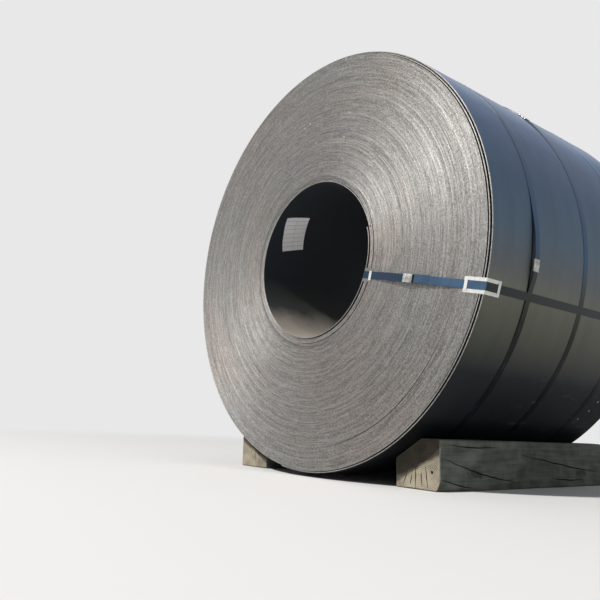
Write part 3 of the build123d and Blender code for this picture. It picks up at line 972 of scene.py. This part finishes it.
def on_end(along, rise, y):
    """Places by distance along the eye strap's run, by height above it from the axis, and by y."""
    along, rise, y = (np.asarray(value)[..., None] for value in (along, rise, y))
    run, up = outwards_at(EYE_HEADING), outwards_at(EYE_HEADING + math.pi / 2)
    return along * run + rise * up + y * np.array((0, 1, 0)) + np.array((0, 0, AXIS_Z))


def beside_eye_strap(radius, y, across):
    """Places by distance from the axis and by distance across the eye strap's run."""
    rise = EYE_RISE + across
    return on_end(np.sqrt(radius**2 - rise**2), rise, y)


def placed_on(origin, along, across, up):
    """A function that puts a skin's own x, y and z along three directions from an origin."""
    def place(x, y, z):
        return origin + np.stack([x, y, z], axis=-1) @ np.array([along, across, up])

    return place


def girth_band(strap, sizes):
    """One strap round the outside, and its second end over the first one in the seal."""
    middle, seal_angle, _, _, _ = GIRTH_STRAPS[strap]
    lap = sizes.overlap / 2 / COIL_RADIUS
    across, heights = band_section(sizes.width, sizes.thickness, 3)
    skins = []
    whole = np.linspace(0, math.tau, RING_STEPS, endpoint=False)
    second = np.linspace(seal_angle - lap, seal_angle + lap, LAP_STEPS)
    for angle, level, loop in ((whole, 0, True), (second, sizes.thickness, False)):
        radius = outline_radius(angle) + sizes.shell_gap + slack(strap, angle) + level
        shape = (len(angle), len(across))
        angle, y = np.broadcast_to(angle[:, None], shape), np.broadcast_to(FRONT_Y + middle + across, shape)
        skins.append(loft(round_coil(angle, radius[:, None] + heights, y), loop))
    return skins


def eye_line(sizes):
    """The eye strap's inside face as distances from the axis and places along y, once round."""
    plate, gap = sizes.plate_thickness, sizes.seat_gap
    out = COIL_RADIUS + sizes.shell_gap + sizes.thickness + gap
    inside = BORE_RADIUS - plate - 2 * gap
    flat, bowed = plate + gap, plate + gap + EYE_BOW
    half_bow = sizes.seal_length / 2 + sizes.flat_past
    half_over = sizes.width / 2 + sizes.flat_past
    # On the shell it passes over the first girth strap, which stands off the coil there
    shell_angle = EYE_HEADING + math.asin(EYE_RISE / COIL_RADIUS)
    over = out + float(slack(0, np.array(shell_angle + sizes.width / 2 / COIL_RADIUS)))
    first, second = FRONT_Y + GIRTH_STRAPS[0][0], FRONT_Y + GIRTH_STRAPS[1][0]

    def end(y, outward):
        return [
            (inside, y + outward * flat),
            (BORE_RADIUS + sizes.eye_face_leg, y + outward * flat),
            (EYE_SEAL_RADIUS - half_bow, y + outward * bowed),
            (EYE_SEAL_RADIUS + half_bow, y + outward * bowed),
            (COIL_RADIUS - sizes.outer_face_leg, y + outward * flat),
            (out, y + outward * flat),
        ]

    shell = [
        (out, FRONT_Y + sizes.outer_wall_leg),
        (over, first - half_over),
        (over, first + half_over),
        (out, second),
    ]
    start = (inside, (FRONT_Y + REAR_Y) / 2)
    corners = [start, *end(FRONT_Y, -1), *shell, *end(REAR_Y, 1)[::-1], start]
    rim, gentle = [sizes.rim_bend], 4 * [sizes.gentle_bend]
    return rounded(corners, rim + gentle + rim + gentle + rim + gentle + rim)


def eye_seal_level(sizes):
    """Where the seal on the eye strap lies along y: on the strap, which bows out from the front end."""
    return FRONT_Y - sizes.plate_thickness - sizes.seat_gap - EYE_BOW - sizes.thickness


def eye_band(sizes):
    """The strap through the eye, and its second end, which runs on past the seal."""
    line = dense(eye_line(sizes), STRAP_STEP)[:-1]
    whole = band(line, sizes.width, sizes.thickness, beside_eye_strap, loop=True)
    half_seal = sizes.seal_length / 2
    start = EYE_SEAL_RADIUS - half_seal - 2 * sizes.flat_past
    along = np.linspace(start, EYE_SEAL_RADIUS + half_seal + sizes.free_end, FREE_STEPS)

    def slid(radius, y, across):
        part = np.clip((radius - EYE_SEAL_RADIUS) / sizes.slide_run, 0, 1)
        return beside_eye_strap(radius, y, across + sizes.free_slide * part)

    # Past the seal it comes down to the face with the strap
    bow_end, rim = EYE_SEAL_RADIUS + half_seal + sizes.flat_past, COIL_RADIUS - sizes.outer_face_leg
    sunk = EYE_BOW * np.clip((along - bow_end) / (rim - bow_end), 0, 1)
    line = np.stack([along, eye_seal_level(sizes) - 2 * sizes.seat_gap + sunk], axis=1)
    return [whole, band(line, sizes.width, sizes.thickness, slid)]


def seal_skin(place, sizes):
    """A sleeve folded round a strap's two ends, open underneath and crimped along both edges.

    It is drawn with its length along x, its width along y and its outside upwards, and is then placed.
    """
    metal, steps = sizes.seal_metal, 4
    inside_width, inside_height = sizes.width + sizes.seal_side, 2 * sizes.thickness + sizes.seal_slack
    half_width, half_height = inside_width / 2 + metal, inside_height / 2 + metal

    def outline(half_across, half_up, radius):
        points = [(-sizes.lip_opening / 2, -half_up)]
        for side_y, side_z, first in ((-1, -1, -90), (-1, 1, 180), (1, 1, 90), (1, -1, 0)):
            for step in range(steps + 1):
                angle = math.radians(first - 90 * step / steps)
                y = side_y * (half_across - radius) + radius * math.cos(angle)
                points.append((y, side_z * (half_up - radius) + radius * math.sin(angle)))
        return points + [(sizes.lip_opening / 2, -half_up)]

    outer = outline(half_width, half_height, metal * 1.2)
    section = np.array(outer + outline(inside_width / 2, inside_height / 2, metal * 0.3)[::-1])
    along = np.linspace(-sizes.seal_length / 2, sizes.seal_length / 2, SEAL_STEPS + 1)
    crimped = np.zeros_like(along)
    for middle in (-sizes.crimp_pitch / 2, sizes.crimp_pitch / 2):
        crimped = np.maximum(crimped, np.clip(1 - np.abs(along - middle) / sizes.crimp_width * 2, 0, 1))
    # A crimp pushes both edges in and leaves the top a little hollow beside them
    near_edge = np.clip((np.abs(section[:, 0]) - half_width) / sizes.crimp_reach + 1, 0, 1)
    pressed = crimped[:, None] * near_edge[None, :]
    across = section[None, :, 0] * (1 - pressed * sizes.crimp_depth / half_width)
    up = section[None, :, 1] * (1 - 0.35 * pressed)
    return loft(place(np.broadcast_to(along[:, None], across.shape), across, up))


def girth_seal_place(strap, sizes):
    """Where the seal of a strap round the outside goes."""
    middle, angle, height, _, _ = GIRTH_STRAPS[strap]
    radius = COIL_RADIUS + sizes.shell_gap + height + sizes.thickness
    origin = round_coil(np.array(angle), radius, FRONT_Y + middle)
    return placed_on(origin, outwards_at(angle + math.pi / 2), (0, 1, 0), outwards_at(angle))


def eye_seal_place(sizes):
    """Where the seal of the strap through the eye goes."""
    origin = beside_eye_strap(EYE_SEAL_RADIUS, eye_seal_level(sizes), 0)
    return placed_on(origin, outwards_at(EYE_HEADING), outwards_at(EYE_HEADING + math.pi / 2), (0, -1, 0))


def tab_skin(origin, over, up, sizes):
    """A tab folded up beside the strap and over it."""
    rise = sizes.width / 2 + sizes.tab_side_gap
    inside = sizes.seat_gap + sizes.thickness + sizes.tab_top_gap
    corners = [(sizes.width / 2 + sizes.tab_reach, inside), (-rise, inside), (-rise, -sizes.plate_thickness)]
    place = placed_on(origin, over, up, np.cross(over, up))
    return band(rounded(corners, [sizes.tab_bend]), sizes.tab_width, sizes.plate_thickness, place, stations=2)


def plate_skins(end_y, outward, at_eye, sizes):
    """A sheet bent over one rim of the coil under the eye strap, with its tabs."""
    face_leg = sizes.eye_face_leg if at_eye else sizes.outer_face_leg
    wall_leg = sizes.eye_wall_leg if at_eye else sizes.outer_wall_leg
    seat = BORE_RADIUS - sizes.seat_gap if at_eye else COIL_RADIUS + sizes.shell_gap
    away = -1 if at_eye else 1
    face_end = (BORE_RADIUS if at_eye else COIL_RADIUS) - away * face_leg
    corners = [(face_end, end_y), (seat, end_y), (seat, end_y - outward * wall_leg)]
    if (outward < 0) == at_eye:
        corners = corners[::-1]

    def place(radius, y, across):
        # The sheet is cut off straight on the end face and follows the ring at the rim
        curved = np.clip((radius - face_end) / (seat - face_end), 0, 1)
        rise = EYE_RISE + across
        return on_end(radius + curved * (np.sqrt(radius**2 - rise**2) - radius), rise, y)

    line = dense(rounded(corners, [sizes.plate_bend], 4), PLATE_STEP)
    skins = [band(line, sizes.plate_width, sizes.plate_thickness, place, stations=7)]
    tab_middle = sizes.tab_inset + sizes.tab_width / 2
    spot = on_end(face_end + away * tab_middle, EYE_RISE, end_y + outward * sizes.plate_thickness)
    skins.append(tab_skin(spot, -outwards_at(EYE_HEADING + math.pi / 2), np.array((0, outward, 0)), sizes))
    if not at_eye:
        angle = EYE_HEADING + math.asin(EYE_RISE / COIL_RADIUS)
        tab_y = end_y - outward * (wall_leg - tab_middle)
        spot = round_coil(np.array(angle), seat + sizes.plate_thickness, tab_y)
        skins.append(tab_skin(spot, outwards_at(angle + math.pi / 2), outwards_at(angle), sizes))
    return skins


class COIL_OT_straps(bpy.types.Operator):
    """Lay the straps round the coil and through its eye, with their seals and corner plates"""

    bl_idname = "coil.straps"
    bl_label = "Straps, seals and plates"

    def execute(self, context):
        sizes, colours = context.scene.coil_straps, context.scene.coil_colours
        dull, blued = dull_strapping(colours), blued_strapping(colours)
        sheet, plated = zinc_sheet(colours), zinc_plating(colours)
        pieces = []
        for strap in range(len(GIRTH_STRAPS)):
            number = str(strap + 1)
            skins, seal = girth_band(strap, sizes), [seal_skin(girth_seal_place(strap, sizes), sizes)]
            pieces += [
                ("strap_round_" + number, "girth_strap_" + number, skins, dull, "blued_strapping"),
                ("seal_round_" + number, "girth_seal_" + number, seal, plated, "zinc_plated_seal"),
            ]
        skins, seal = eye_band(sizes), [seal_skin(eye_seal_place(sizes), sizes)]
        pieces += [
            ("strap_through_eye", "eye_strap", skins, blued, "blued_strapping"),
            ("seal_at_eye", "eye_strap_seal", seal, plated, "zinc_plated_seal"),
        ]
        for end, end_y, outward in (("front", FRONT_Y, -1), ("rear", REAR_Y, 1)):
            for place, at_eye in (("rim", False), ("eye", True)):
                rim, skins = end + "_" + place, plate_skins(end_y, outward, at_eye, sizes)
                pieces.append((rim + "_sheet", rim + "_plate", skins, sheet, "galvanised_sheet"))
        for name, node, skins, material, slot in pieces:
            piece = mesh_piece(name, *joined(skins), [material], slot)
            turn_outwards(piece.data)
            piece.data.shade_smooth()
            piece.data.set_sharp_from_angle(angle=math.radians(35))
            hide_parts(node)
        return {"FINISHED"}


class COIL_OT_label(bpy.types.Operator):
    """Stick the paper label to the wall of the bore"""

    bl_idname = "coil.label"
    bl_label = "Label"

    def execute(self, context):
        sizes = context.scene.coil_label
        from_front, middle_angle, tilt = LABEL_PLACE
        across, up = np.meshgrid(np.linspace(-0.5, 0.5, 25), np.linspace(-0.5, 0.5, 33))
        x, y = across * sizes.width, up * sizes.height
        along = x * math.cos(tilt) - y * math.sin(tilt)
        around = x * math.sin(tilt) + y * math.cos(tilt)
        # Only the corners curl up, and the rest ripples a little
        curl = np.clip(np.abs(across) + np.abs(up) - 0.72, 0, 1) / 0.28
        lift = sizes.lift * curl**2 + sizes.ripple * (1 + np.sin(9 * across + 14 * up))
        angle = middle_angle + around / BORE_RADIUS
        points = round_coil(angle, BORE_RADIUS - sizes.seat - lift, FRONT_Y + from_front + along)
        index = np.arange(across.size).reshape(across.shape)
        faces = np.stack([index[:-1, :-1], index[:-1, 1:], index[1:, 1:], index[1:, :-1]], axis=-1)
        faces = faces.reshape(-1, 4)
        piece = mesh_piece("label_sheet", points.reshape(-1, 3), faces, [label_paper()], "label_paper")
        piece.data.shade_smooth()
        sheet = piece.data.uv_layers.new(name="sheet")
        flat = np.stack([across.reshape(-1), up.reshape(-1)], axis=1)[faces.reshape(-1)] + 0.5
        sheet.data.foreach_set("uv", flat.reshape(-1))
        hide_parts("bore_label")
        return {"FINISHED"}


def timber_outline(sizes, side):
    """Section of a timber as a flat line of points with worn arrises, and where its ends are."""
    low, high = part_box("timber_right" if side > 0 else "timber_left")
    near, far = (low.x, high.x) if side > 0 else (high.x, low.x)
    height, top = high.z, near + side * sizes.bevel_width
    bevel_low = height - sizes.bevel_width * math.tan(sizes.bevel_angle)
    start = ((near + far) / 2, 0)
    corners = [start, (far, 0), (far, height), (top, height), (near, bevel_low), (near, 0), start]
    line = rounded(corners, 5 * [sizes.arris], 4)
    return dense(line, sizes.grid)[:-1], low.y, high.y


def worn(points, inward, sizes, seed):
    """Points moved inwards by weather: raised grain of 11 mm, long along y, with broad hollows."""
    shifted = []
    for point, way in zip(points, inward):
        grain = noise.noise(Vector((point[0] * 90, point[1] * 2.5, point[2] * 90 + seed)))
        broad = noise.noise(Vector((point[0] * 14, point[1] * 4, point[2] * 14 - seed)))
        depth = sizes.wear * (0.4 + 0.8 * grain + 0.9 * broad)
        shifted.append(np.array(point) + max(depth, 0.0) * np.array(way))
    return np.array(shifted)


def ragged(places, step, sway, seed):
    """A line of places with more places between, swaying a little from side to side."""
    places = [Vector(place) for place in places]
    points = []
    for start, end in zip(places, places[1:]):
        count = max(1, round((end - start).length / step))
        for k in range(count):
            point = start.lerp(end, k / count)
            points.append(point + sway * noise.noise_vector(point * 40 + Vector((seed, 0, 0))))
    return points + [places[-1]]


def crack(places, kind, seed, outwards):
    """A crack's wedge-shaped solid, ragged along places on a face."""
    step, sway, width, depth = kind
    places, outwards = ragged(places, step, sway, seed), Vector(outwards)
    rings = []
    for k, place in enumerate(places):
        run = places[min(k + 1, len(places) - 1)] - places[max(k - 1, 0)]
        sideways = run.cross(outwards).normalized()
        # Towards both ends it thins out to about a quarter of its width and a third of its depth
        part = math.sin(math.pi * (k + 0.15) / (len(places) - 0.7))
        half, above = width / 2 * (0.25 + 0.75 * part), place + outwards * CUT_PAST
        deep = place - outwards * depth * (0.3 + 0.7 * part)
        rings.append([tuple(above - sideways * half), tuple(above + sideways * half), tuple(deep)])
    return loft(np.array(rings))


def right_timber_damage():
    """Solids of the cracks, the hole and the broken arris of the right timber, and of the split there."""
    low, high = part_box("timber_right")
    skins = []
    for number, line in enumerate(SIDE_CRACKS):
        skins.append(crack([(high.x, FRONT_Y + y, z) for y, z in line], SIDE_KIND, number, (1, 0, 0)))
    for number, line in enumerate(END_CRACKS):
        skins.append(crack([(x, low.y, z) for x, z in line], END_KIND, number, (0, -1, 0)))
    square = [(-1, -1), (1, -1), (1, 1), (-1, 1)]
    rings = [
        [(HOLE_PLACE[0] + a * HOLE_SIDE / 2, y, HOLE_PLACE[1] + b * HOLE_SIDE / 2) for a, b in square]
        for y in (low.y - CUT_PAST, low.y + HOLE_DEPTH)
    ]
    skins.append(loft(np.array(rings)))
    # The break slants from the foot to the side, and is drawn on past both
    rings, past = [], BREAK_PAST
    for part in np.linspace(0, 1, 12):
        y, left = low.y - past + (BREAK_BACK + past) * part, (1 - part) ** 2.2
        top = BREAK_UP * left + 0.003 * noise.noise(Vector((part * 9, 1, 2)))
        foot = high.x - BREAK_IN * left - past * BREAK_IN / BREAK_UP
        outside = high.x + past
        rings.append([(foot, y, -past), (outside, y, -past), (outside, y, top + past), (high.x, y, top)])
    split = crack([(high.x, FRONT_Y + y, z) for y, z in SPLIT], SPLIT_KIND, 9, (1, 0, 0))
    return [skins + [loft(np.array(rings))], [split]]


def left_timber_damage():
    """Solids of a few drying cracks in the left timber."""
    low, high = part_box("timber_left")
    skins = []
    for number, (start, length_along, z) in enumerate(LEFT_CRACKS):
        places = [(low.x, low.y + start + length_along * k / 3, z - 0.008 * k) for k in range(4)]
        skins.append(crack(places, LEFT_SIDE_KIND, number + 7, (-1, 0, 0)))
    middle = (low.x + high.x) / 2
    for number, (foot, top) in enumerate(LEFT_END_CRACKS):
        steps = ((top, 0.1), ((foot + top) / 2, 0.05), (foot, 0.005))
        places = [(middle + aside, low.y, height) for aside, height in steps]
        skins.append(crack(places, LEFT_END_KIND, number + 3, (0, -1, 0)))
    return [skins]


def timber_body(name, side, sizes, materials):
    """A weathered timber: its long faces, and its two ends drawn in rings."""
    line, front, rear = timber_outline(sizes, side)
    normals = outward_normals(line, loop=True)
    if np.sum((line - line.mean(axis=0)) * normals) < 0:
        normals = -normals
    inward = np.stack([-normals[:, 0], np.zeros(len(line)), -normals[:, 1]], axis=1)
    # The ends' edges are eased in three steps: how far from the end, and how far in
    ease = sizes.arris
    near = [(0, ease * 0.6), (ease * 0.2, ease * 0.2), (ease * 0.7, 0)]
    count = int((rear - front) / sizes.grid / 1.3)
    stations = [(front + away, inset) for away, inset in near]
    stations += [(y, 0) for y in np.linspace(front + ease * 1.4, rear - ease * 1.4, count)]
    stations += [(rear - away, inset) for away, inset in near[::-1]]
    rings = []
    for y, inset in stations:
        flat = line - normals * inset
        ring = np.stack([flat[:, 0], np.full(len(flat), y), flat[:, 1]], axis=1)
        rings.append(worn(ring, inward, sizes, side))
    shares = np.linspace(0.94, 0.06, 10)
    ends = []
    for ring, way in ((rings[0], 1), (rings[-1], -1)):
        core = ring.mean(axis=0)
        along = np.tile((0, way, 0), (len(line), 1))
        ends.append([worn(core + (ring - core) * share, along, sizes, side + 5) for share in shares])
    points, faces = loft(np.array(ends[0][::-1] + rings + ends[1]))
    end_faces = len(shares) * len(line)
    which = np.zeros(len(faces), dtype=np.int32)
    which[:end_faces] = 1
    which[-2 - end_faces :] = 1
    piece = mesh_piece(name, points, faces, materials, "weathered_timber", None, which)
    turn_outwards(piece.data, triangles=True)
    return piece


def carve(piece, skins):
    """Cuts solids out of a piece."""
    points, faces = joined(skins)
    mesh = bpy.data.meshes.new("carving")
    mesh.from_pydata(points.tolist(), [], faces)
    turn_outwards(mesh)
    tool = bpy.data.objects.new("carving", mesh)
    bpy.context.scene.collection.objects.link(tool)
    cut = piece.modifiers.new("cracks", "BOOLEAN")
    cut.object = tool
    cut.operation = "DIFFERENCE"
    cut.solver = "EXACT"
    bpy.context.view_layer.update()
    carved = bpy.data.meshes.new_from_object(piece.evaluated_get(bpy.context.evaluated_depsgraph_get()))
    if len(carved.polygons) < len(piece.data.polygons) * 0.8:
        raise RuntimeError("The cracks couldn't be cut into " + piece.name)
    piece.modifiers.clear()
    piece.data = carved
    bpy.data.objects.remove(tool)
    piece.data.shade_smooth()
    piece.data.set_sharp_from_angle(angle=math.radians(40))


class COIL_OT_timbers(bpy.types.Operator):
    """Shape the two weathered timbers, with their worn faces and cracks"""

    bl_idname = "coil.timbers"
    bl_label = "Timbers"

    def execute(self, context):
        sizes, colours = context.scene.coil_timber, context.scene.coil_colours
        materials = [weathered_timber(colours), sawn_end_grain(colours)]
        for side, name, damage in ((1, "right", right_timber_damage), (-1, "left", left_timber_damage)):
            piece = timber_body("timber_body_" + name, side, sizes, materials)
            for skins in damage():
                carve(piece, skins)
            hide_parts("timber_" + name)
        return {"FINISHED"}


def studio_world(colour, fill):
    """Even light from all round, and a plain pale background where the world itself is seen."""
    world = bpy.data.worlds.new("studio")
    world.use_nodes = True
    tree = world.node_tree
    tree.nodes.clear()
    seen = add(tree, "LightPath", output="Is Camera Ray")
    for ray in ("Is Glossy Ray", "Is Transmission Ray"):
        seen = add(tree, "Math", {0: seen, 1: add(tree, "LightPath", output=ray)}, operation="MAXIMUM")
    even = add(tree, "Background", {"Color": linear("f4f6fa"), "Strength": fill})
    pale = add(tree, "Background", {"Color": colour, "Strength": 1.0})
    both = add(tree, "MixShader", {0: seen, 1: even, 2: pale})
    add(tree, "OutputWorld", {"Surface": both})
    return world


def pale_studio_floor(colour):
    """Matt floor in the background's colour, which turns into the background far out."""
    material, tree = new_material("pale_studio_floor")
    place = add(tree, "TexCoord", output="Object")
    away = add(tree, "VectorMath", {0: place}, "Value", operation="LENGTH")
    near, far = FLOOR_FADE
    fade = {"Value": away, "From Min": near, "From Max": far}
    fade = add(tree, "MapRange", fade, interpolation_type="SMOOTHSTEP")
    seen = add(tree, "LightPath", output="Is Camera Ray")
    share = add(tree, "Math", {0: fade, 1: seen}, operation="MULTIPLY")
    matt = add(tree, "BsdfPrincipled", {"Base Color": colour, "Roughness": 0.9})
    glow = add(tree, "Emission", {"Color": colour, "Strength": 1.0})
    both = add(tree, "MixShader", {0: share, 1: matt, 2: glow})
    add(tree, "OutputMaterial", {"Surface": both})
    return material


class COIL_OT_stage(bpy.types.Operator):
    """Set the floor, the lamp, the even light and the camera"""

    bl_idname = "coil.stage"
    bl_label = "Stage"

    def execute(self, context):
        settings, scene = context.scene.coil_stage, context.scene
        colour = tuple(scene.coil_colours.floor)
        scene.view_settings.view_transform = "Standard"
        scene.world = studio_world(colour, settings.fill)

        lamp = bpy.data.lights.new("key", "AREA")
        lamp.size = settings.key_size
        lamp.energy = settings.key_power
        lamp.color = linear("fffcf8")
        key = bpy.data.objects.new("key", lamp)
        key.location = Vector((0, 0, AXIS_Z)) + KEY_DIRECTION * KEY_DISTANCE
        key.rotation_euler = KEY_DIRECTION.to_track_quat("Z", "Y").to_euler()
        scene.collection.objects.link(key)

        disc = bmesh.new()
        bmesh.ops.create_circle(disc, cap_ends=True, segments=96, radius=FLOOR_RADIUS)
        mesh = bpy.data.meshes.new("floor")
        disc.to_mesh(mesh)
        disc.free()
        mesh.materials.append(pale_studio_floor(colour))
        floor = bpy.data.objects.new("floor", mesh)
        scene.collection.objects.link(floor)

        lens = bpy.data.cameras.new("camera")
        lens.lens = settings.focal_length
        lens.shift_x = settings.shift
        camera = bpy.data.objects.new("camera", lens)
        turned = (
            Matrix.Rotation(CAMERA_TURN, 4, "Z")
            @ Matrix.Rotation(math.pi / 2 + CAMERA_TILT, 4, "X")
            @ Matrix.Rotation(CAMERA_ROLL, 4, "Z")
        )
        camera.matrix_world = Matrix.Translation(Vector((0, FRONT_Y, AXIS_Z)) + CAMERA_FROM_FACE) @ turned
        scene.collection.objects.link(camera)
        scene.camera = camera
        return {"FINISHED"}


OPERATORS = (COIL_OT_turns, COIL_OT_straps, COIL_OT_label, COIL_OT_timbers, COIL_OT_stage)
GROUPS = {
    "coil_sizes": CoilSizes,
    "coil_straps": StrapSizes,
    "coil_label": LabelSizes,
    "coil_timber": TimberSizes,
    "coil_colours": FinishColours,
    "coil_stage": StageSettings,
}


class COIL_PT_panel(bpy.types.Panel):
    """Lists the pieces of the coil and the stage"""

    bl_idname = "COIL_PT_panel"
    bl_label = "Steel coil"
    bl_space_type = "VIEW_3D"
    bl_region_type = "UI"
    bl_category = "Coil"

    def draw(self, context):
        for operator in OPERATORS:
            self.layout.operator(operator.bl_idname)
        for name, group in GROUPS.items():
            box = self.layout.box()
            for field in group.__annotations__:
                box.prop(getattr(context.scene, name), field)


CLASSES = (*GROUPS.values(), *OPERATORS, COIL_PT_panel)


def register():
    for kind in CLASSES:
        bpy.utils.register_class(kind)
    for name, group in GROUPS.items():
        setattr(bpy.types.Scene, name, PointerProperty(type=group))


def unregister():
    for name in GROUPS:
        delattr(bpy.types.Scene, name)
    for kind in reversed(CLASSES):
        bpy.utils.unregister_class(kind)


def main():
    register()
    bpy.ops.coil.turns()
    bpy.ops.coil.straps()
    bpy.ops.coil.label()
    bpy.ops.coil.timbers()
    bpy.ops.coil.stage()


if __name__ == "__main__":
    main()
